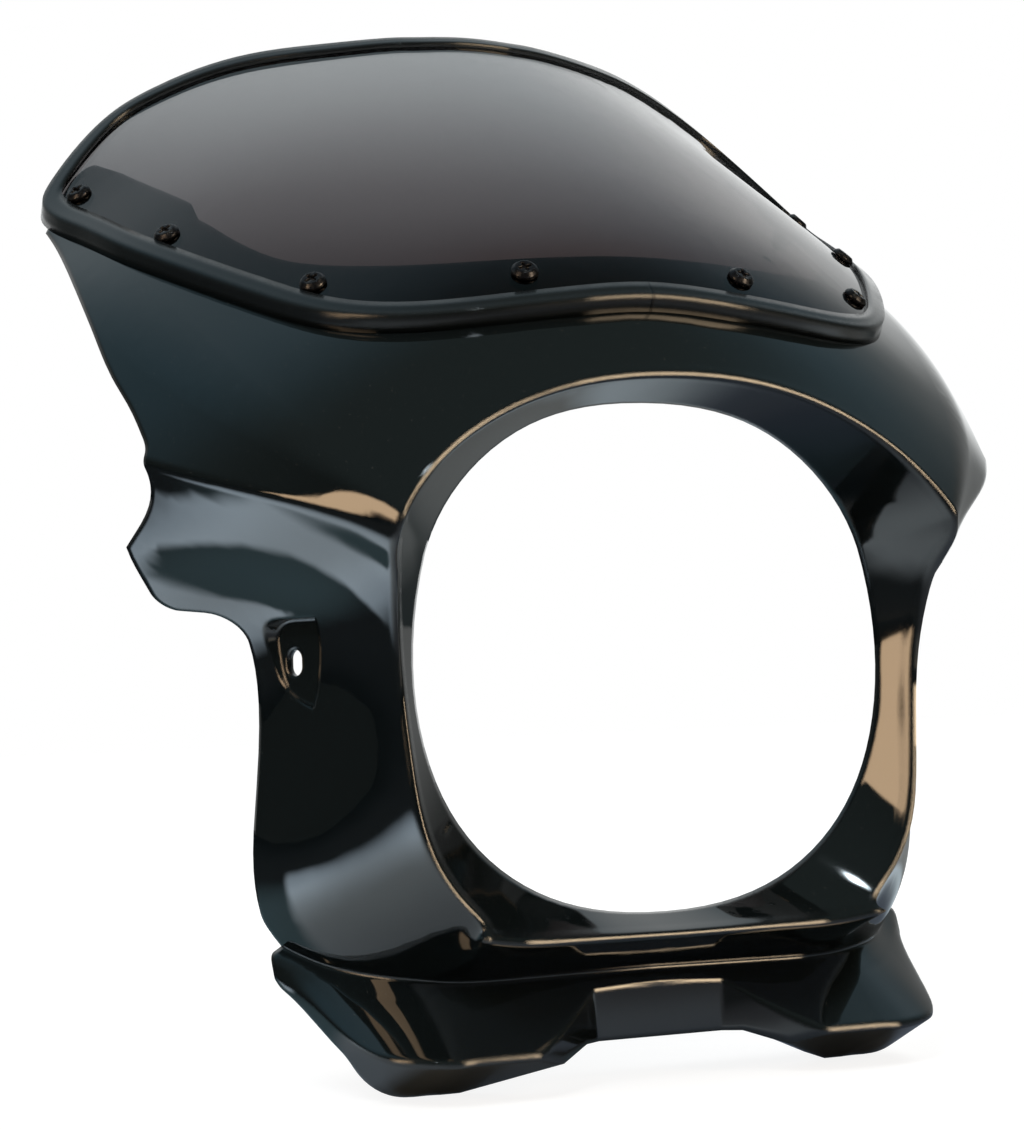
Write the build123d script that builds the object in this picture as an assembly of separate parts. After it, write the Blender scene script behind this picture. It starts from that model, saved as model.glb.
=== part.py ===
"""Headlight cowl for a motorbike: a moulded shell round the headlamp opening, a smoked screen
with a rubber edge trim, and the screws that hold the screen to the shell's flange."""

import os

from build123d import *

# Frame: origin in the middle of the headlamp opening, +X to the right seen from the front,
# +Y to the rear, +Z up. Sizes are in millimetres.

# Headlamp opening
opening_diameter = 200.0
opening_squareness = 2.3
mouth_depth = 45.0

# Moulded shell
shell_wall = 3.2
lower_crease_round = 3.0

# Windscreen and its rubber edge trim
screen_thickness = 3.0
screen_standoff = 2.0
screen_lean = 56.6
trim_lip = 1.8
trim_wall = 2.0
trim_width = 8.0
trim_seat_gap = 0.2
outline_pieces = 8

# Screen fasteners
screw_diameter = 5.0
screw_head_diameter = 11.0
screw_head_height = 3.0
screw_head_chamfer = 1.6
screw_seat_gap = 0.1
screw_recess_width = 1.3
screw_recess_span = 5.5
screw_recess_depth = 1.6
screw_tail = 1.5
hole_clearance = 0.5
thread_play = 0.1
spacer_diameter = 12.0
spacer_play = 0.15
flange_seat_depth = 3.0
seat_clearance = 0.5
washer_diameter = 11.0
washer_thickness = 1.0
nut_across_flats = 8.0
nut_height = 4.0

# Side mounting pockets
pocket_front = 27.0
pocket_front_rake = 9.0
pocket_rear = 53.5
pocket_top = 19.0
pocket_bottom = -16.0
pocket_floor_front = 21.0
pocket_floor_slope = 0.58
pocket_bow_start = 0.7
pocket_bow_drop = 0.4
slot_height = 10.5
slot_width = 7.5
slot_y = 46.5
slot_z = 2.0

half_opening = opening_diameter / 2

# Reach of the cuts that pass right through the shell
cut_reach = 400.0

# Lines plan of the hood, one row for each distance behind the opening plane. Widths run out
# from the side of the opening, the crest runs up from its top, other heights from its centre. The
# upper crease starts tight at the rim, softens into a broad band and tightens to the wing tip.
# y, crest, arch fullness, round of the upper crease,
# then upper crease, lower crease, scoop, waist, flank, knee, turn and sill as (width, height)
LINES = (
    (-45, -6, 0.42, 2.5,
     (13, 48), (11, 40), (9, 28), (5, 10), (0, -40), (-13, -80), (-25, -93), (-50, -98)),
    (-20, 22, 0.36, 5,
     (34, 70), (34.5, 54), (20.5, 36), (13.5, 18), (6.5, -45), (-5.5, -86), (-16, -101), (-45, -108)),
    (10, 57, 0.28, 8,
     (53, 92), (61.5, 66.5), (41, 42), (26, 22), (20, -45), (12, -96), (-2, -113), (-40, -122)),
    (45, 88, 0.21, 11,
     (68.5, 114), (87, 79), (66, 46), (43, 25), (36, -45), (31.5, -104), (17, -125), (-35, -132)),
    (90, 121, 0.175, 13,
     (81.5, 141), (112, 97), (96, 48), (79, 25), (53, -45), (45, -107), (28, -132), (-30, -140)),
    (140, 156.5, 0.15, 11,
     (90, 167), (140, 115), (128, 70), (112, 28), (72, -45), (68, -120), (48, -138), (-25, -142)),
    (215, 206, 0.165, 3.5,
     (99, 202), (180, 142), (165, 90), (147, 35), (100, -45), (92, -127), (70, -146), (-20, -150)),
    (250, 227, 0.165, 3,
     (103, 218), (200, 155), (185, 100), (165, 38), (112, -45), (102, -130), (80, -148), (-18, -152)),
)


def shoulder_share(row):
    """How much of the arch's shoulder the round of the upper crease takes."""
    fullness, crease_round, upper = row[2:5]
    return crease_round / ((1 - fullness) * (half_opening + upper[0]))


def section_path(row):
    """Right half of one hood section: arch control point, then the points down to the sill."""
    crest, fullness = row[1:3]
    path = [Vector(half_opening + out, up) for out, up in row[4:]]
    share = shoulder_share(row)
    arch_z = (4 * (half_opening + crest) - (1 - share) * path[0].Y) / (3 + share)
    return [Vector(fullness * path[0].X, arch_z)] + path


def inset(path, depth):
    """The path moved square to itself towards the inside of the section."""
    loop = path + [Vector(-p.X, p.Y) for p in reversed(path)]
    moved = []
    for i in range(len(path)):
        before = (loop[i] - loop[i - 1]).normalized().rotate(Axis.Z, -90)
        after = (loop[i + 1] - loop[i]).normalized().rotate(Axis.Z, -90)
        moved.append(loop[i] + (before + after) * (depth / (1 + before.dot(after))))
    return moved


def step(start, towards, distance):
    return start + (towards - start).normalized() * distance


def hood_section(row, depth):
    """Closed section of the hood at one row, set in by a depth and moved back by half of it.
    The lower crease is rounded on the outside only."""
    arch, upper, lower, *side = inset(section_path(row), depth)
    y = row[0] + depth / 2
    arch_end = upper + (arch - upper) * shoulder_share(row)
    facet_top = step(upper, lower, row[3])
    lower_round = 0 if depth else lower_crease_round
    facet_foot = step(lower, upper, lower_round)
    scoop_top = step(lower, side[0], lower_round)
    down = (side[0] - lower).normalized()

    def half(sign):
        def at(p):
            return Vector(sign * p.X, y, p.Y)

        crease = Edge.make_bezier(at(arch_end), at(upper), at(facet_top))
        facet = Edge.make_line(at(facet_top), at(facet_foot))
        flank = Edge.make_spline(
            [at(p) for p in [scoop_top] + side],
            tangents=[Vector(sign * down.X, 0, down.Y), Vector(-sign, 0, 0)],
        )
        if depth:
            return [crease, facet, flank]
        return [crease, facet, Edge.make_bezier(at(facet_foot), at(lower), at(scoop_top)), flank]

    def both(p):
        return Vector(-p.X, y, p.Y), Vector(p.X, y, p.Y)

    crest = Edge.make_bezier(both(arch_end)[0], *both(arch), both(arch_end)[1])
    floor = Edge.make_line(*both(side[-1]))
    return Wire([crest] + half(1) + [floor] + half(-1))


def hood_solid(depth):
    return Solid.make_loft([hood_section(row, depth) for row in LINES])


# Throat between the rim and the opening: how far the mouth flares out past the opening, by angle.
# The first list runs over the top from crest to corner, the second from corner to the bottom.
CORNER_ANGLE = 24
FLARE_OVER = ((90, 9.6), (62, 13.5), (37, 25), (CORNER_ANGLE, 28))
FLARE_UNDER = (
    (CORNER_ANGLE, 28), (5, 33), (-18, 33), (-33, 46), (-48, 52), (-58, 45), (-64, 32), (-90, 15),
)


def opening_radius(angle):
    """Radius of the rounded-square opening at an angle up from the side."""
    unit = Vector(1, 0).rotate(Axis.Z, angle)
    power = opening_squareness
    return half_opening / (abs(unit.X) ** power + abs(unit.Y) ** power) ** (1 / power)


def throat_outline(y, flare_share, grow):
    """Closed outline of the throat at a depth, with a corner each side where the creases meet."""
    def edge(flares):
        right = []
        for angle, flare in flares:
            radius = opening_radius(angle) + grow + flare_share * flare
            spot = Vector(1, 0).rotate(Axis.Z, angle) * radius
            right.append(Vector(spot.X, y, spot.Y))
        if right[0].Z > right[-1].Z and flares[0][0] == 90:
            right.reverse()
        left = [Vector(-p.X, y, p.Z) for p in reversed(right[:-1])]
        return Edge.make_spline(right + left)

    return Wire([edge(FLARE_OVER), edge(FLARE_UNDER)])


def throat_plug(grow):
    front = throat_outline(-mouth_depth, 1, grow)
    back = throat_outline(0, 0, grow)
    return Solid.make_loft([back, front], ruled=True)


# Chin below the rim: sections at distances out from the middle, each with its shelf back, top
# crease, front crease and lower edge as (y, z). The middle runs straight, the ends sweep back.
chin_back_y = 130.0
chin_round = 4.0
chin_bevel = 1.5
CHIN_MIDDLE = (0, (34, -108), (5, -127), (-20, -150), (19, -166))
CHIN_ENDS = (
    (88, (37, -108), (10, -128), (-20, -150), (19, -166)),
    (99, (39, -107.5), (13, -127.5), (-19.5, -150), (19.5, -166)),
    (110, (48, -105.5), (22, -125.5), (-14.5, -149), (22, -165)),
    (119, (58, -103.5), (33, -122.5), (-4, -147), (29, -161.5)),
    (130, (72, -100.5), (47.5, -117.5), (28, -134.5), (48, -152)),
    (141, (86, -97.5), (62, -112), (58, -122.5), (70, -142)),
    (152, (100, -94.5), (77, -106.5), (88, -111), (92, -132)),
)


def chin_section(row, depth):
    """One closed section of the chin. Its top crease is rounded and its front crease bevelled, on
    the outside only."""
    x = row[0] - (depth if row[0] else 0)
    corners = [Vector(y, z) for y, z in row[1:]]
    corners += [Vector(chin_back_y, corners[-1].Y), Vector(chin_back_y, corners[0].Y)]
    moved = []
    for i, corner in enumerate(corners):
        before = (corner - corners[i - 1]).normalized().rotate(Axis.Z, 90)
        after = (corners[(i + 1) % len(corners)] - corner).normalized().rotate(Axis.Z, 90)
        moved.append(corner + (before + after) * (depth / (1 + before.dot(after))))

    def at(p):
        return Vector(x, p.X, p.Y)

    if depth:
        return Wire.make_polygon([at(p) for p in moved])
    shelf, top, front, *foot = moved
    near = step(top, shelf, chin_round)
    far = step(top, front, chin_round)
    bevel = [step(front, top, chin_bevel), step(front, foot[0], chin_bevel)]
    path = [far, *bevel, *foot, shelf, near]
    lines = [Edge.make_line(at(a), at(b)) for a, b in zip(path, path[1:])]
    return Wire([Edge.make_bezier(at(near), at(top), at(far))] + lines)


def chin_solid(depth):
    middle = chin_section(CHIN_MIDDLE, depth)
    ends = [chin_section(row, depth) for row in CHIN_ENDS]
    half = Solid.make_loft([middle, ends[0]], ruled=True) + Solid.make_loft(ends)
    return half + mirror(half, Plane.YZ)


# Notch in the middle of the chin: half widths at the recessed face and at the front
notch_face_y = 5.0
notch_top_z = -128.0
notch_top_half = 28.0
notch_foot_half = 24.0
notch_front_y = -40.0
notch_front_half = 92.0
notch_lip_z = -149.0
notch_lip_half = 34.0
lobe_foot_half = 80.0
lobe_foot_z = -166.0
below_chin_z = -190.0


def notch_solid(grow):
    """Wedge cut between the two chin lobes, wider to the front and below."""
    def profile(y, top_half, foot_half):
        top = notch_top_z + grow
        return Wire.make_polygon([
            Vector(-top_half, y, top), Vector(top_half, y, top),
            Vector(foot_half, y, below_chin_z), Vector(-foot_half, y, below_chin_z),
        ])

    face = profile(notch_face_y + grow, notch_top_half + grow, notch_foot_half + grow)
    front = profile(notch_front_y, notch_front_half + grow, notch_front_half + grow)
    return Solid.make_loft([face, front], ruled=True)


def chin_foot_cut():
    """Below the notch the lower edge of the chin rises between the lobes."""
    outline = Polyline(
        (-lobe_foot_half, lobe_foot_z), (-notch_lip_half, notch_lip_z),
        (notch_lip_half, notch_lip_z), (lobe_foot_half, lobe_foot_z),
        (lobe_foot_half, below_chin_z), (-lobe_foot_half, below_chin_z), close=True,
    )
    return extrude(Plane.XZ * make_face(outline), cut_reach, both=True)


# Rear edge of the shell in side view as (y, z): the wing from above its tip down round the scoop
# to the tab, then the tab and flank down to the chin as (y, z, corner radius)
WING_EDGE = (
    (262, 235), (190, 192), (146, 166.5), (106, 137.5), (82, 116.5), (66.5, 103), (56, 92),
    (50.8, 84), (51.5, 75.5), (59.5, 64), (79, 50),
)
FLANK_EDGE = (
    (86, 25.5, 6), (60.5, 21.5, 12), (68, -99, 12), (57, -124, 14), (20, -149, 8), (18, -190, 0),
)
behind_shell_y = 300.0


def rear_cut():
    wing = Spline(*WING_EDGE)
    corners = [(y, z) for y, z, _ in FLANK_EDGE]
    flank = FilletPolyline(WING_EDGE[-1], *corners, radius=[r for _, _, r in FLANK_EDGE[:-1]])
    end, start = corners[-1], WING_EDGE[0]
    rest = Polyline(end, (behind_shell_y, end[1]), (behind_shell_y, start[1]), start)
    return extrude(Plane.YZ * make_face(wing.edges() + flank.edges() + rest.edges()), cut_reach, both=True)


# Inner edge of the flange under the screen, in plan from the middle out to the wide end tab, then
# round the tab and over the wing tip with the radius of each corner
FLANGE_EDGE = ((0, 12), (40, 15.5), (75, 27), (111, 53), (125, 70), (139, 104), (144, 122))
FLANGE_TAB = ((143, 136, 5), (158, 195, 60), (166, 217, 6), (175, 216, 6), (188, 203, 30), (200, 186, 8))
beyond_tip_x = 260.0


def flange_cut():
    """Everything inside the flange is open under the screen, and the wing ends at its tip."""
    curve = Spline(*FLANGE_EDGE, tangents=((1, 0), (0.3, 1)))
    corners = [(x, y) for x, y, _ in FLANGE_TAB]
    end = (beyond_tip_x, corners[-1][1])
    tab = FilletPolyline(FLANGE_EDGE[-1], *corners, end, radius=[r for _, _, r in FLANGE_TAB])
    back = Polyline(end, (end[0], behind_shell_y), (0, behind_shell_y), FLANGE_EDGE[0])
    half = extrude(make_face(curve.edges() + tab.edges() + back.edges()), cut_reach)
    return half + mirror(half, Plane.YZ)


def pocket_outline(grow):
    """D-shaped recess in side view: a raked front edge and a round rear."""
    front, rear = pocket_front - grow, pocket_rear + grow
    top, bottom = pocket_top + grow, pocket_bottom - grow
    foot = (front + pocket_front_rake, bottom)
    bow_start = (front + pocket_bow_start * (rear - front), top)
    bow_middle = (rear, top - pocket_bow_drop * (top - bottom))
    bow = Spline(bow_start, bow_middle, foot, tangents=((1, 0), (-1, -0.35)))
    edges = Polyline(foot, (front, top), bow_start)
    return make_face(edges.edges() + bow.edges())


def floor_x(y, grow):
    """Distance out to the pocket floor, which runs along the flank."""
    shift = half_opening + pocket_floor_front - grow * (1 + pocket_floor_slope ** 2) ** 0.5
    return shift + pocket_floor_slope * (y - pocket_front)


def pocket_solids(grow):
    """The recess on both sides, from its floor outwards."""
    outside = 2 * half_opening
    front, rear = pocket_front - 2 * shell_wall, pocket_rear + 2 * shell_wall
    plan = Polyline((floor_x(front, grow), front), (outside, front), (outside, rear),
                    (floor_x(rear, grow), rear), close=True)
    recess = extrude(Plane.YZ * pocket_outline(grow), outside)
    recess &= extrude(make_face(plan), half_opening, both=True)
    return [recess, mirror(recess, Plane.YZ)]


def slot_cut():
    """The upright mounting slots, square through both pocket floors."""
    centre = (floor_x(slot_y, 0), slot_y, slot_z)
    floor = Plane(centre, x_dir=(0, 0, 1), z_dir=(1, -pocket_floor_slope, 0))
    slot = extrude(floor * SlotOverall(slot_height, slot_width), 2 * shell_wall, both=True)
    return slot + mirror(slot, Plane.YZ)


# Outer edge of the trim seen square to the screen, from the middle of the brow out to the tip
# and back over the top: distance out, distance up the slope
TRIM_EDGE = (
    (0, 66), (30, 65), (62.5, 66.5), (92.5, 73.6), (118.8, 90.5), (141.3, 123.2), (162, 166),
    (177, 208), (186, 248), (192, 277), (191.5, 290), (183.8, 304.6), (167.4, 324.2), (147.5, 337.4),
    (134.2, 339), (112.4, 337.8), (91.3, 332), (51.3, 315), (29.6, 310), (0, 307.5),
)
screen_reach = 300.0


def screen_prism(inset_by):
    """Block through the screen, bounded by the trim's outer edge moved inwards."""
    points = [Vector(x, up) for x, up in TRIM_EDGE]
    around = [Vector(-points[1].X, points[1].Y)] + points + [Vector(-points[-2].X, points[-2].Y)]
    moved = []
    for before, point, after in zip(around, points, around[2:]):
        moved.append(point + (after - before).normalized().rotate(Axis.Z, 90) * inset_by)
    curve = Spline(*moved, tangents=((1, 0), (-1, 0))).edge()
    right = [curve.trim(i / outline_pieces, (i + 1) / outline_pieces) for i in range(outline_pieces)]
    left = [piece.mirror(Plane.YZ) for piece in right]
    view = Plane((0, 0, 0), x_dir=(1, 0, 0), z_dir=Vector(0, 0, 1).rotate(Axis.X, 90 - screen_lean))
    return extrude(view * make_face(right + left), screen_reach)


def brow_face():
    """Outer face of the hood over the brow, which the screen follows out to the wing tips."""
    return hood_solid(0).faces().sort_by(lambda face: face.center().Z)[-1]


def sheet(face, low, high):
    """Sheet between two distances above the brow face."""
    if low:
        faces = Solid.thicken(face, low).faces()
        face = faces.filter_by(lambda f: f.area > 0.9 * face.area).sort_by(lambda f: f.center().Z)[-1]
    return Solid.thicken(face, high - low)


# Screw places in plan, right side
SCREWS = ((46.3, 7.2), (119.4, 44.6), (157, 120), (175.4, 195.6))


def screw_planes(face):
    """A plane on the brow face at each screw, looking out along the screw."""
    planes = []
    for x, y in SCREWS:
        for sign in (1, -1):
            point, normal = face.find_intersection_points(Axis((sign * x, y, 0), (0, 0, 1)))[0]
            normal = normal if normal.Z > 0 else -normal
            planes.append(Plane(point, x_dir=(0, 1, 0), z_dir=normal))
    return planes


def column(diameter, low, high):
    """Round bar along a screw between two heights above the brow face."""
    return Pos(0, 0, low) * Cylinder(
        diameter / 2, high - low, align=(Align.CENTER, Align.CENTER, Align.MIN)
    )


screen_top = screen_standoff + screen_thickness
head_foot = screen_top + screw_seat_gap
washer_foot = -flange_seat_depth - washer_thickness
nut_foot = washer_foot - nut_height
screw_hole = column(screw_diameter + hole_clearance, nut_foot, screen_top + screw_head_height)


def make_screw():
    head = column(screw_head_diameter, head_foot, head_foot + screw_head_height)
    head = chamfer(head.edges().group_by(Axis.Z)[-1], screw_head_chamfer)
    for angle in (0, 90):
        head -= Pos(0, 0, head_foot + screw_head_height) * Rot(0, 0, angle) * Box(
            screw_recess_span, screw_recess_width, 2 * screw_recess_depth
        )
    return head + column(screw_diameter, nut_foot - screw_tail, head_foot)


def make_washer():
    return column(washer_diameter, washer_foot, -flange_seat_depth) - screw_hole


def make_nut():
    hexagon = RegularPolygon(nut_across_flats / 2, 6, major_radius=False)
    nut = Pos(0, 0, nut_foot) * extrude(hexagon, nut_height)
    return nut - column(screw_diameter + thread_play, nut_foot, washer_foot)


def make_shell(planes):
    chin = chin_solid(0) - notch_solid(0) - chin_foot_cut() - rear_cut()
    hood = hood_solid(0) - rear_cut() - flange_cut()
    shell = hood + chin - throat_plug(0)
    throat = throat_plug(shell_wall)
    shell -= hood_solid(shell_wall) - throat
    shell -= chin_solid(shell_wall) - notch_solid(shell_wall) - throat
    for cup in pocket_solids(shell_wall):
        shell += cup & hood
    for recess in pocket_solids(0):
        shell -= recess
    shell -= slot_cut()
    seat = column(washer_diameter + 2 * seat_clearance, nut_foot, -flange_seat_depth)
    for plane in planes:
        shell -= plane * (seat + screw_hole)
    return shell


brow = brow_face()
planes = screw_planes(brow)
windscreen = sheet(brow, screen_standoff, screen_top) & screen_prism(trim_wall)
edge_trim = sheet(brow, trim_seat_gap, screen_top + trim_lip) & screen_prism(0)
edge_trim -= screen_prism(trim_width)
edge_trim -= windscreen
spacer = column(spacer_diameter, spacer_play, screen_standoff - spacer_play) - screw_hole
for plane in planes:
    windscreen -= plane * screw_hole

parts = {
    "cowl_shell": make_shell(planes),
    "windscreen": windscreen,
    "edge_trim": edge_trim,
    "screen_screws": Compound(children=[plane * make_screw() for plane in planes]),
    "screen_spacers": Compound(children=[plane * spacer for plane in planes]),
    "nut_washers": Compound(children=[plane * make_washer() for plane in planes]),
    "screen_nuts": Compound(children=[plane * make_nut() for plane in planes]),
}
os.makedirs("parts", exist_ok=True)
for name, solid in parts.items():
    export_step(solid, f"parts/{name}.step")
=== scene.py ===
# %% [markdown]
# This is a headlight cowl from a motorbike: a gloss black moulded shell round the lamp opening,
# a smoked screen with a rubber edge trim, and eight screws along the screen's lower edge.
# The solids come in as a fixed frame, so every piece made here stands where its solid stands.

# %% Load the frame
import math

import bpy
from mathutils import Matrix, Quaternion, Vector


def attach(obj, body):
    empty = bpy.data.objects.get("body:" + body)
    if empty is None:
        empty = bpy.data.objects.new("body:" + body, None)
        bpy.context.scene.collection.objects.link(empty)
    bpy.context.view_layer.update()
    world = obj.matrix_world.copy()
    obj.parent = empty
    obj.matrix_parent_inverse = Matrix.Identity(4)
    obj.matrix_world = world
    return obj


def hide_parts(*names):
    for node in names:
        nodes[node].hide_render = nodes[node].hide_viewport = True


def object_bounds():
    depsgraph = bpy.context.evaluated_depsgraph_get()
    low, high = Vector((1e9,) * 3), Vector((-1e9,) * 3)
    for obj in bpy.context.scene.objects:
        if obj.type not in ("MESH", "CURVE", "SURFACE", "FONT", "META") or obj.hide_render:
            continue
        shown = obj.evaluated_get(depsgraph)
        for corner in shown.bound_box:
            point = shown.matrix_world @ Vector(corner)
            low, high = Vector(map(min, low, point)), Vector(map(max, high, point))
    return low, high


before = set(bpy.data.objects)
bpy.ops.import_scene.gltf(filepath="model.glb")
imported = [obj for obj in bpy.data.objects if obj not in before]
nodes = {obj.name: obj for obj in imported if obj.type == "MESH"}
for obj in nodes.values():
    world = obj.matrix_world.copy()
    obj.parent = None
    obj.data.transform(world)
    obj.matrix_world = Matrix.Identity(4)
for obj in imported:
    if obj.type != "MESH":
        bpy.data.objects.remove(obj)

cad_low, cad_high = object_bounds()
print("solids:", sorted(nodes))
print("box in mm:", [round(1000 * (b - a)) for a, b in zip(cad_low, cad_high)])

# %% [markdown]
# The screws are cold formed, so their heads have no sharp edges. A bevel needs clean faces, and
# the solid's own triangles are long and uneven. A merged copy is therefore remeshed into even
# small faces and relaxed, which turns every edge round by about the size of a face.

# %% Domed screws
face_size = 0.0003
relax_passes = 10
merge_within = 0.00001
screws = bpy.data.objects.new("domed_screws", nodes["screen_screws"].data.copy())
bpy.context.scene.collection.objects.link(screws)
screws.data.name = "domed_screws"
bpy.ops.object.select_all(action="DESELECT")
screws.select_set(True)
bpy.context.view_layer.objects.active = screws
bpy.ops.object.mode_set(mode="EDIT")
bpy.ops.mesh.select_all(action="SELECT")
bpy.ops.mesh.customdata_custom_splitnormals_clear()
bpy.ops.mesh.remove_doubles(threshold=merge_within)
bpy.ops.object.mode_set(mode="OBJECT")
remesh = screws.modifiers.new("even_faces", "REMESH")
remesh.mode = "VOXEL"
remesh.voxel_size = face_size
bpy.ops.object.modifier_apply(modifier=remesh.name)
relax = screws.modifiers.new("relax", "SMOOTH")
relax.factor = 0.5
relax.iterations = relax_passes
bpy.ops.object.modifier_apply(modifier=relax.name)
bpy.ops.object.shade_smooth()
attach(screws, "root")
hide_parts("screen_screws")
print("screw faces:", len(screws.data.polygons))


# %% [markdown]
# Every finish starts from one plain surface, and the nodes that vary it are small helpers, so a
# material reads as a list of what is on the real surface. All patterns sit in the object's own
# coordinates, in metres.


# %% Material helpers
def new_material(name, piece):
    material = bpy.data.materials.new(name)
    material.use_nodes = True
    piece.data.materials.clear()
    piece.data.materials.append(material)
    return material.node_tree


def add_node(tree, kind, **inputs):
    node = tree.nodes.new(kind)
    for key, value in inputs.items():
        node.inputs[key.replace("_", " ")].default_value = value
    return node


def surface(tree, **inputs):
    bsdf = tree.nodes["Principled BSDF"]
    for key, value in inputs.items():
        bsdf.inputs[key.replace("_", " ")].default_value = value
    return bsdf


def position(tree, kind="Object"):
    """The x, y and z of a point on the piece, or of a direction in the room."""
    place = tree.nodes.new("ShaderNodeTexCoord")
    apart = tree.nodes.new("ShaderNodeSeparateXYZ")
    tree.links.new(place.outputs[kind], apart.inputs["Vector"])
    return apart.outputs


def ramp(tree, source, low, high, first, last):
    """Maps a value between two limits onto two others, smoothly, and holds it outside them."""
    node = add_node(tree, "ShaderNodeMapRange", From_Min=low, From_Max=high, To_Min=first, To_Max=last)
    node.interpolation_type = "SMOOTHSTEP"
    tree.links.new(source, node.inputs["Value"])
    return node.outputs["Result"]


def blend(tree, share, first, last):
    """Mixes two colours by a share from 0 to 1."""
    node = tree.nodes.new("ShaderNodeMix")
    node.data_type = "RGBA"
    tree.links.new(share, node.inputs["Factor"])
    for socket, colour in (("A", first), ("B", last)):
        if isinstance(colour, tuple):
            node.inputs[socket].default_value = colour
        else:
            tree.links.new(colour, node.inputs[socket])
    return node.outputs["Result"]


def combine(tree, operation, first, second):
    """Joins two values by an operation such as MULTIPLY or MAXIMUM."""
    node = tree.nodes.new("ShaderNodeMath")
    node.operation = operation
    tree.links.new(first, node.inputs[0])
    tree.links.new(second, node.inputs[1])
    return node.outputs["Value"]


# %% [markdown]
# Two effects are on several finishes. Nothing real has an even sheen, so patches of noise vary
# the roughness and the colour. Moulded and extruded edges are round, and at this size that is
# a matter of shading: the surface normal is averaged within a radius, so that an edge catches
# the light as a thin line. Each effect is a node group, built once and placed with its own values.


# %% Shared effects
def new_group(name, inputs, output, kind):
    group = bpy.data.node_groups.new(name, "ShaderNodeTree")
    for label in inputs:
        group.interface.new_socket(label, in_out="INPUT", socket_type="NodeSocketFloat")
    group.interface.new_socket(output, in_out="OUTPUT", socket_type=kind)
    return group, group.nodes.new("NodeGroupInput"), group.nodes.new("NodeGroupOutput")


patches, given, result = new_group("patches", ("Scale", "Start", "End", "Low", "High"),
                                   "Value", "NodeSocketFloat")
place = patches.nodes.new("ShaderNodeTexCoord")
cloud = patches.nodes.new("ShaderNodeTexNoise")
spread = patches.nodes.new("ShaderNodeMapRange")
spread.interpolation_type = "SMOOTHSTEP"
patches.links.new(place.outputs["Object"], cloud.inputs["Vector"])
patches.links.new(given.outputs["Scale"], cloud.inputs["Scale"])
patches.links.new(cloud.outputs["Fac"], spread.inputs["Value"])
for label, socket in (("Start", "From Min"), ("End", "From Max"), ("Low", "To Min"), ("High", "To Max")):
    patches.links.new(given.outputs[label], spread.inputs[socket])
patches.links.new(spread.outputs["Result"], result.inputs["Value"])

edge_samples = 12
soft_edges, given, result = new_group("soft_edges", ("Radius",), "Normal", "NodeSocketVector")
bevel = soft_edges.nodes.new("ShaderNodeBevel")
bevel.samples = edge_samples
soft_edges.links.new(given.outputs["Radius"], bevel.inputs["Radius"])
soft_edges.links.new(bevel.outputs["Normal"], result.inputs["Normal"])


def patchy(tree, scale, start, end, low, high):
    """A value that goes from low to high where the noise goes from start to end."""
    node = tree.nodes.new("ShaderNodeGroup")
    node.node_tree = patches
    for label, value in (("Scale", scale), ("Start", start), ("End", end), ("Low", low), ("High", high)):
        node.inputs[label].default_value = value
    return node.outputs["Value"]


def rounded(tree, radius):
    """A normal that is averaged within a radius, which may vary over the piece."""
    node = tree.nodes.new("ShaderNodeGroup")
    node.node_tree = soft_edges
    if isinstance(radius, float):
        node.inputs["Radius"].default_value = radius
    else:
        tree.links.new(radius, node.inputs["Radius"])
    return node.outputs["Normal"]


print("groups:", sorted(group.name for group in bpy.data.node_groups))

# %% [markdown]
# The shell is moulded plastic under a deep black lacquer, which mirrors more than bare plastic,
# so its index of refraction is set high. The rim of the opening is rounder than the thin rear
# edges. A very shallow waviness bends the reflections as sprayed lacquer does, and a little dust
# dulls it in places.

# %% Black lacquer
rim_depth = (-0.012, 0.004)
rim_radius = 0.005
edge_radius = 0.0025
lacquer_black = (0.0035, 0.005, 0.0055, 1)
dust_grey = (0.25, 0.25, 0.24, 1)
shell = nodes["cowl_shell"]
tree = new_material("black_lacquer", shell)
bsdf = surface(tree, IOR=1.95)
radius = ramp(tree, position(tree)["Y"], *rim_depth, rim_radius, edge_radius)
waves = add_node(tree, "ShaderNodeBump", Strength=0.25, Distance=0.0004)
tree.links.new(patchy(tree, 18.0, 0.0, 1.0, 0.0, 1.0), waves.inputs["Height"])
tree.links.new(rounded(tree, radius), waves.inputs["Normal"])
tree.links.new(waves.outputs["Normal"], bsdf.inputs["Normal"])
dust = patchy(tree, 900.0, 0.70, 0.78, 0.0, 0.12)
tree.links.new(blend(tree, dust, lacquer_black, dust_grey), bsdf.inputs["Base Color"])
tree.links.new(patchy(tree, 9.0, 0.35, 0.75, 0.02, 0.06), bsdf.inputs["Roughness"])
print("lacquer nodes:", len(tree.nodes))

# %% [markdown]
# The screen is one sheet of smoked acrylic. In the photograph it is clear grey at the top and
# goes over to a deep brown towards the brow, so its colour is set by its height.

# %% Smoked acrylic
brow_colour = (0.026, 0.015, 0.014, 1)
middle_colour = (0.09, 0.08, 0.082, 1)
top_colour = (0.3, 0.31, 0.315, 1)
brow_to_middle = (0.14, 0.215)
middle_to_top = (0.19, 0.29)
pane = nodes["windscreen"]
tree = new_material("smoked_acrylic", pane)
bsdf = surface(tree, Roughness=0.0, Transmission_Weight=1.0, IOR=1.49)
height = position(tree)["Z"]
screen_colour = blend(tree, ramp(tree, height, *brow_to_middle, 0.0, 1.0), brow_colour, middle_colour)
screen_colour = blend(tree, ramp(tree, height, *middle_to_top, 0.0, 1.0), screen_colour, top_colour)
tree.links.new(screen_colour, bsdf.inputs["Base Color"])
print("tint runs over mm:", round(1000 * (middle_to_top[1] - brow_to_middle[0])))

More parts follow.
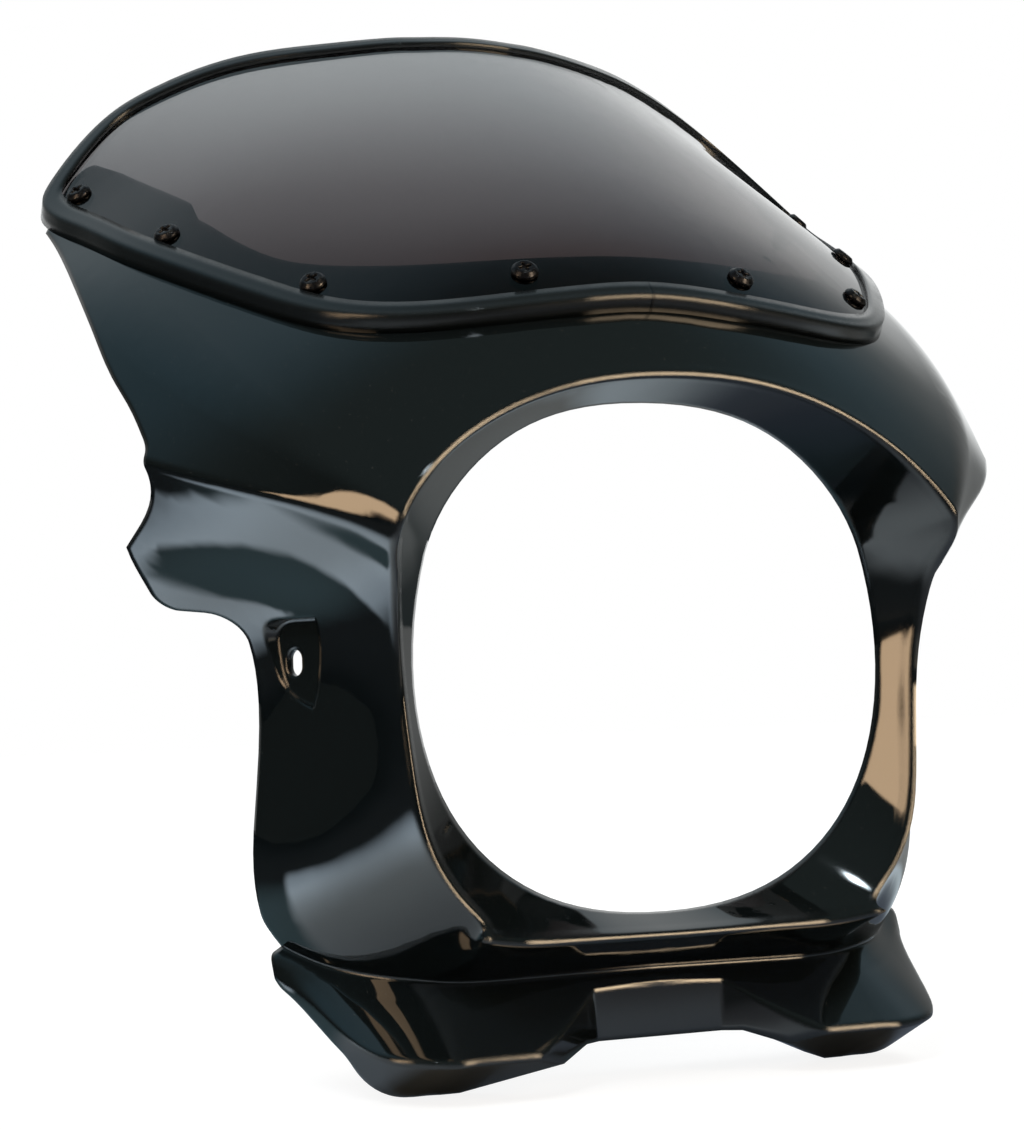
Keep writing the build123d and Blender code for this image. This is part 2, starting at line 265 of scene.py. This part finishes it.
# %% [markdown]
# The trim is extruded rubber pushed over the edge of the screen, a round glossy bead with a fine
# grain. Its two ends meet in the middle of the brow, where a hairline seam shows, so the seam is
# a mask on the front of the trim that darkens it and sinks its surface.

# %% Glossy rubber
bead_radius = 0.0045
seam_edge = (0.0002, 0.0006)
front_of_trim = (0.05, 0.06)
rubber_black = (0.008, 0.010, 0.011, 1)
seam_black = (0.0, 0.0, 0.0, 1)
trim = nodes["edge_trim"]
tree = new_material("glossy_rubber", trim)
bsdf = surface(tree, IOR=1.62)
apart = position(tree)
side = tree.nodes.new("ShaderNodeMath")
side.operation = "ABSOLUTE"
tree.links.new(apart["X"], side.inputs[0])
seam = combine(tree, "MULTIPLY", ramp(tree, side.outputs["Value"], *seam_edge, 1.0, 0.0),
               ramp(tree, apart["Y"], *front_of_trim, 1.0, 0.0))
tree.links.new(blend(tree, seam, rubber_black, seam_black), bsdf.inputs["Base Color"])
tree.links.new(patchy(tree, 60.0, 0.3, 0.75, 0.09, 0.18), bsdf.inputs["Roughness"])
grain = add_node(tree, "ShaderNodeBump", Strength=0.05, Distance=0.0003)
tree.links.new(patchy(tree, 700.0, 0.0, 1.0, 0.0, 1.0), grain.inputs["Height"])
tree.links.new(rounded(tree, bead_radius), grain.inputs["Normal"])
groove = add_node(tree, "ShaderNodeBump", Strength=0.8, Distance=0.0006)
groove.invert = True
tree.links.new(seam, groove.inputs["Height"])
tree.links.new(grain.outputs["Normal"], groove.inputs["Normal"])
tree.links.new(groove.outputs["Normal"], bsdf.inputs["Normal"])
print("rubber nodes:", len(tree.nodes))

# %% [markdown]
# The screws are black zinc plated, a dark metal with worn lighter patches. The spacers under the
# screen are soft rubber, and the washers and nuts behind the flange are plain zinc plate.

# %% Fasteners
spacer_black = (0.014, 0.014, 0.014, 1)
black_zinc = (0.03, 0.03, 0.034, 1)
worn_zinc = (0.12, 0.115, 0.11, 1)
dull_zinc = (0.46, 0.46, 0.47, 1)
clear_zinc = (0.6, 0.6, 0.6, 1)
tree = new_material("black_zinc", screws)
bsdf = surface(tree, Metallic=0.85)
worn = patchy(tree, 420.0, 0.5, 0.8, 0.0, 1.0)
tree.links.new(blend(tree, worn, black_zinc, worn_zinc), bsdf.inputs["Base Color"])
tree.links.new(patchy(tree, 800.0, 0.3, 0.8, 0.22, 0.42), bsdf.inputs["Roughness"])
tree = new_material("soft_rubber", nodes["screen_spacers"])
bsdf = surface(tree, Base_Color=spacer_black)
tree.links.new(patchy(tree, 500.0, 0.3, 0.7, 0.6, 0.8), bsdf.inputs["Roughness"])
for node in ("nut_washers", "screen_nuts"):
    tree = new_material("zinc_" + node, nodes[node])
    bsdf = surface(tree, Metallic=1.0)
    cloudy = patchy(tree, 350.0, 0.3, 0.7, 0.0, 1.0)
    tree.links.new(blend(tree, cloudy, dull_zinc, clear_zinc), bsdf.inputs["Base Color"])
    tree.links.new(patchy(tree, 900.0, 0.3, 0.7, 0.28, 0.42), bsdf.inputs["Roughness"])
print("finishes:", sorted(material.name for material in bpy.data.materials if material.users))


# %% [markdown]
# The cowl stands on a pale table, and the background is white. Black lacquer shows only what it
# mirrors, so light and shade are painted into the colour of the table that it mirrors: painted
# shade in front, round the cowl, far off and far to the left, pale beside and behind it, and a
# painted pool of window light to the left, as far as the edge of a painted shadow of the cowl.
# The camera itself sees the table as white paper with a soft shadow.


# %% Table
def distance(tree, point):
    """How far a place on the table is from a point on it."""
    place = tree.nodes.new("ShaderNodeTexCoord")
    node = tree.nodes.new("ShaderNodeVectorMath")
    node.operation = "DISTANCE"
    node.inputs[1].default_value = point
    tree.links.new(place.outputs["Object"], node.inputs[0])
    return node.outputs["Value"]


def seen_by_camera(tree):
    """A mask of the rays that come straight from the camera, or through the screen."""
    path = tree.nodes.new("ShaderNodeLightPath")
    return combine(tree, "MAXIMUM", path.outputs["Is Camera Ray"], path.outputs["Is Transmission Ray"])


def add_shaders(tree, first, second):
    node = tree.nodes.new("ShaderNodeAddShader")
    tree.links.new(first.outputs[0], node.inputs[0])
    tree.links.new(second.outputs[0], node.inputs[1])
    return node


# Apart from the pale colour and the white paper, these table colours are painted shade, a painted shadow
# and a painted pool of light, seen only in reflections.
table_pale = (0.66, 0.76, 0.84, 1)
painted_front_shade = (0.12, 0.13, 0.15, 1)
table_shaded = (0.06, 0.08, 0.13, 1)
painted_far_shade = (0.28, 0.29, 0.29, 1)
shadow_blue = (0.15, 0.24, 0.28, 1)
painted_far_left_shade = (0.03, 0.035, 0.04, 1)
painted_light_blue = (0.7, 0.86, 1.0, 1)
white_paper = (0.2, 0.2, 0.2, 1)
shadow_slope = 0.5
shadow_edge = (-0.02, 0.012)
under_cowl = (0.12, 0.1, 0)
painted_light_centre = (-0.46, 0.2, 0)
table_size = 16
table_gap = 0.0003
bpy.ops.mesh.primitive_plane_add(size=table_size, location=(0, 0, cad_low[2] - table_gap))
floor = bpy.context.object
floor.name = "floor"
tree = new_material("pale_floor", floor)
tree.nodes.clear()
output = tree.nodes.new("ShaderNodeOutputMaterial")
apart = position(tree)
reach = distance(tree, (0, 0, 0))
left = ramp(tree, apart["X"], -0.1, 0.1, 1.0, 0.0)
slant = tree.nodes.new("ShaderNodeMath")
slant.operation = "MULTIPLY_ADD"
slant.inputs[1].default_value = shadow_slope
tree.links.new(apart["X"], slant.inputs[0])
tree.links.new(apart["Y"], slant.inputs[2])
# Painted shadow of the cowl: a slanting line on the table to the left, behind which it is shaded and
# before which the painted window light falls.
painted_shadow_mask = ramp(tree, slant.outputs["Value"], *shadow_edge, 0.0, 1.0)
painted_light_mask = ramp(tree, slant.outputs["Value"], *shadow_edge, 1.0, 0.0)
# Painted shade: darker in front, round the cowl, far off, in the cowl's painted shadow and far to the
# left.
pale = blend(tree, ramp(tree, apart["Y"], -0.3, 0.0, 0.0, 1.0), painted_front_shade, table_pale)
pale = blend(tree, ramp(tree, distance(tree, under_cowl), 0.15, 0.4, 0.85, 0.0), pale, table_shaded)
pale = blend(tree, ramp(tree, reach, 0.58, 0.75, 0.0, 1.0), pale, painted_far_shade)
pale = blend(tree, combine(tree, "MULTIPLY", left, painted_shadow_mask), pale, shadow_blue)
painted_far_left_mask = combine(tree, "MULTIPLY", left, ramp(tree, reach, 0.32, 0.62, 0.0, 1.0))
pale = blend(tree, painted_far_left_mask, pale, painted_far_left_shade)
matt = tree.nodes.new("ShaderNodeBsdfDiffuse")
tree.links.new(pale, matt.inputs["Color"])
# A painted pool of window light glows on the table to the left, outside the painted shadow of the cowl.
painted_light_pool = add_node(tree, "ShaderNodeEmission", Color=painted_light_blue)
bright = ramp(tree, distance(tree, painted_light_centre), 0.05, 0.28, 1.5, 0.0)
tree.links.new(combine(tree, "MULTIPLY", bright, painted_light_mask), painted_light_pool.inputs["Strength"])
paper = add_node(tree, "ShaderNodeBsdfDiffuse", Color=white_paper)
white = tree.nodes.new("ShaderNodeEmission")
tree.links.new(ramp(tree, reach, 0.3, 0.9, 0.86, 1.0), white.inputs["Strength"])
mix = tree.nodes.new("ShaderNodeMixShader")
tree.links.new(seen_by_camera(tree), mix.inputs["Fac"])
tree.links.new(add_shaders(tree, matt, painted_light_pool).outputs[0], mix.inputs[1])
tree.links.new(add_shaders(tree, paper, white).outputs[0], mix.inputs[2])
tree.links.new(mix.outputs[0], output.inputs["Surface"])
print("table at mm:", round(1000 * floor.location.z, 1))

# %% [markdown]
# The room is dim, with a blue light on the ceiling behind the cowl and a white wall behind it to
# the right. The lacquer and the screen mirror that wall where they are seen edge-on, and fade to
# white there. The camera sees the room as plain white.

# %% Room
dark_wall = (0.025, 0.03, 0.028, 1)
dim_ceiling = (0.06, 0.08, 0.08, 1)
blue_ceiling = (0.11, 0.2, 0.25, 1)
white_wall = (0.95, 0.97, 0.97, 1)
plain_white = (1, 1, 1, 1)
world = bpy.data.worlds.new("room")
bpy.context.scene.world = world
world.use_nodes = True
tree = world.node_tree
toward = position(tree, "Generated")
room = blend(tree, ramp(tree, toward["Z"], 0.1, 0.9, 0.0, 1.0), dark_wall, dim_ceiling)
ceiling = combine(tree, "MULTIPLY", ramp(tree, toward["Z"], 0.3, 0.8, 0.0, 1.0),
                  ramp(tree, toward["Y"], -0.1, 0.3, 0.0, 1.0))
room = blend(tree, ceiling, room, blue_ceiling)
wall = combine(tree, "MULTIPLY", ramp(tree, toward["X"], -0.7, 0.1, 0.0, 1.0),
               ramp(tree, toward["Y"], 0.0, 0.65, 0.0, 1.0))
wall = combine(tree, "MULTIPLY", wall, ramp(tree, toward["Z"], 0.2, 0.9, 1.0, 0.3))
wall = combine(tree, "MULTIPLY", wall, ramp(tree, toward["X"], 0.56, 0.74, 1.0, 0.25))
room = blend(tree, wall, room, white_wall)
background = tree.nodes["Background"]
tree.links.new(blend(tree, seen_by_camera(tree), room, plain_white), background.inputs["Color"])
print("room nodes:", len(tree.nodes))

# %% [markdown]
# Two wide soft lamps light the table and are left out of the reflections. A leaning warm window
# on the left gives the tan strip inside the rim and the gold on the crease. A tall warm door on
# the right gives the gold line round the rim and along the chin. A small cool lamp overhead makes
# the spark in the corner of the throat.


# %% Lamps
def lamp(name, place, size, power, colour, mirrored, lean=0.0):
    light = bpy.data.lights.new(name, "AREA")
    light.shape = "RECTANGLE"
    light.size, light.size_y = size
    light.energy = power
    light.color = colour
    piece = bpy.data.objects.new(name, light)
    bpy.context.scene.collection.objects.link(piece)
    piece.location = place
    aim = (-Vector(place)).to_track_quat("-Z", "Y")
    piece.rotation_euler = (aim @ Quaternion((0, 0, 1), math.radians(lean))).to_euler()
    piece.visible_glossy = mirrored
    piece.visible_camera = False
    piece.visible_transmission = False
    return piece


soft_white = (0.95, 0.98, 1.0)
window_tan = (1.0, 0.7, 0.43)
door_gold = (1.0, 0.76, 0.5)
spark_blue = (0.8, 0.92, 1.0)
lamp("soft_left", (-1.2, -0.8, 1.7), (1.2, 0.9), 34, soft_white, False)
lamp("soft_right", (1.3, 0.3, 1.6), (1.2, 0.9), 22, soft_white, False)
lamp("warm_window", (-1.386, -0.543, 0.41), (0.36, 1.05), 5.0, window_tan, True, -34)
lamp("warm_door", (1.0, -1.73, 0.6), (0.7, 1.2), 24, door_gold, True)
lamp("cool_lamp", (-0.2, -0.62, 1.0), (0.03, 0.03), 0.16, spark_blue, True)
print("lamps:", len(bpy.data.lights))

# %% [markdown]
# The camera stands where the photograph was taken from, a little below the middle of the opening
# and to its left. Its place, turn and lens were fitted to the outline of the opening and the
# screen, and a slight roll levels the picture as in the photograph.

# %% Camera
stand = Vector((-0.4462, -0.9424, -0.0132))
film_width = 36
lens_length = 84.244
turn = math.radians(22.371)
tilt = math.radians(-2.799)
roll = math.radians(-1.975)
forward = Vector((math.sin(turn) * math.cos(tilt), math.cos(turn) * math.cos(tilt), -math.sin(tilt)))
level = Vector((math.cos(turn), -math.sin(turn), 0))
upright = level.cross(forward)
across = math.cos(roll) * level + math.sin(roll) * upright
up = math.cos(roll) * upright - math.sin(roll) * level
camera = bpy.data.objects.new("camera", bpy.data.cameras.new("camera"))
bpy.context.scene.collection.objects.link(camera)
camera.matrix_world = Matrix((across, up, -forward)).transposed().to_4x4()
camera.location = stand
camera.data.sensor_width = film_width
camera.data.lens = lens_length
bpy.context.scene.camera = camera
bpy.context.scene.view_settings.view_transform = "Standard"
print("camera to opening in mm:", round(1000 * camera.location.length))
